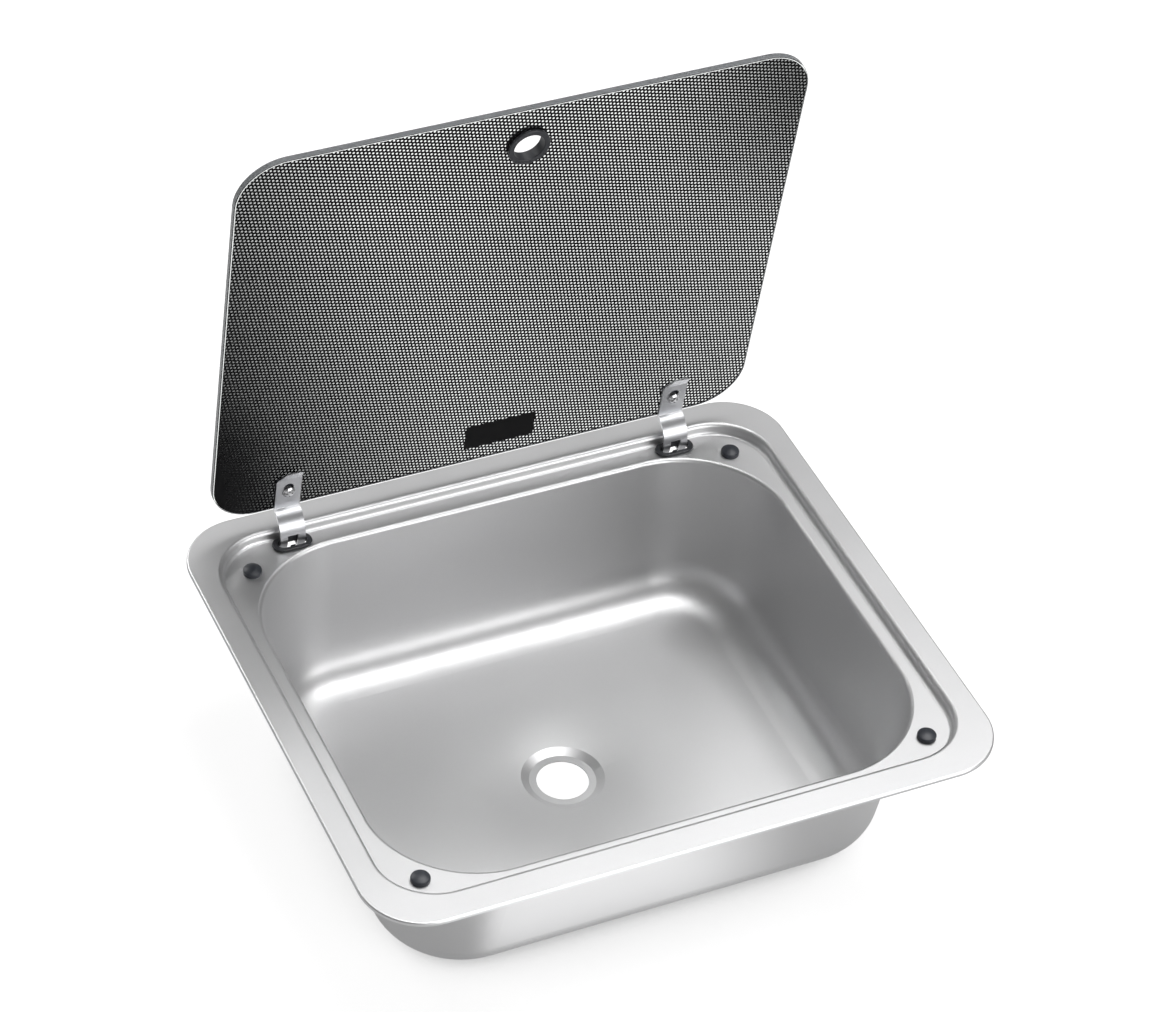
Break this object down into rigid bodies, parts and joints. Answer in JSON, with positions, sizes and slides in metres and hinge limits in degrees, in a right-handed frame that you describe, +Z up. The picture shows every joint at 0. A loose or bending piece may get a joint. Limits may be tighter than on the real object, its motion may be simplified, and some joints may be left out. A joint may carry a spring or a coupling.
{
  "type": "rv sink with glass lid",
  "caption": "Drop-in camper sink: a pressed steel bowl with a rounded flat rim and sunk field, closed by a printed glass lid that swings up on bent strip hinges.",
  "frame": {"origin": "under the middle of the rim, level with the underside of the outlet seat, which is the lowest point", "axes": "+Z up, +Y to the hinge side, +X to the right as seen from the front edge"},
  "size_m": [0.42, 0.37, 0.4578],
  "materials": {
    "sink_steel": "fine satin, lightly brushed",
    "strip_steel": "smooth rolled strip",
    "spring_steel": "dark tempered strip",
    "screw_steel": "bright plated",
    "printed_glass": "toughened glass with a printed dot screen on its inner face",
    "black_plastic": "satin moulded",
    "pale_plastic": "natural moulded",
    "black_rubber": "smooth moulded",
    "seal_rubber": "soft foam strip"
  },
  "bodies": {
    "bowl": {"sink_bowl": "sink_steel", "rim_seal": "seal_rubber", "left_slot_grommet": "black_plastic", "right_slot_grommet": "black_plastic", "left_catch_spring": "spring_steel", "right_catch_spring": "spring_steel", "front_left_buffer": "black_rubber", "front_right_buffer": "black_rubber", "back_left_buffer": "black_rubber", "back_right_buffer": "black_rubber"},
    "lid": {"glass_lid": "printed_glass", "finger_ring": "black_plastic", "left_hinge_arm": "strip_steel", "right_hinge_arm": "strip_steel", "left_glass_pad": "black_rubber", "right_glass_pad": "black_rubber", "lid_screws": "screw_steel", "lid_bushes": "pale_plastic", "lid_washers": "black_rubber", "lid_cap_nuts": "screw_steel"}
  },
  "joints": [
    {"name": "lid_hinge", "type": "hinge", "parent": "bowl", "child": "lid", "pos_m": [0, 0.1743, 0.1258], "axis": [1, 0, 0], "range_deg": [0, 81.5]}
  ]
}
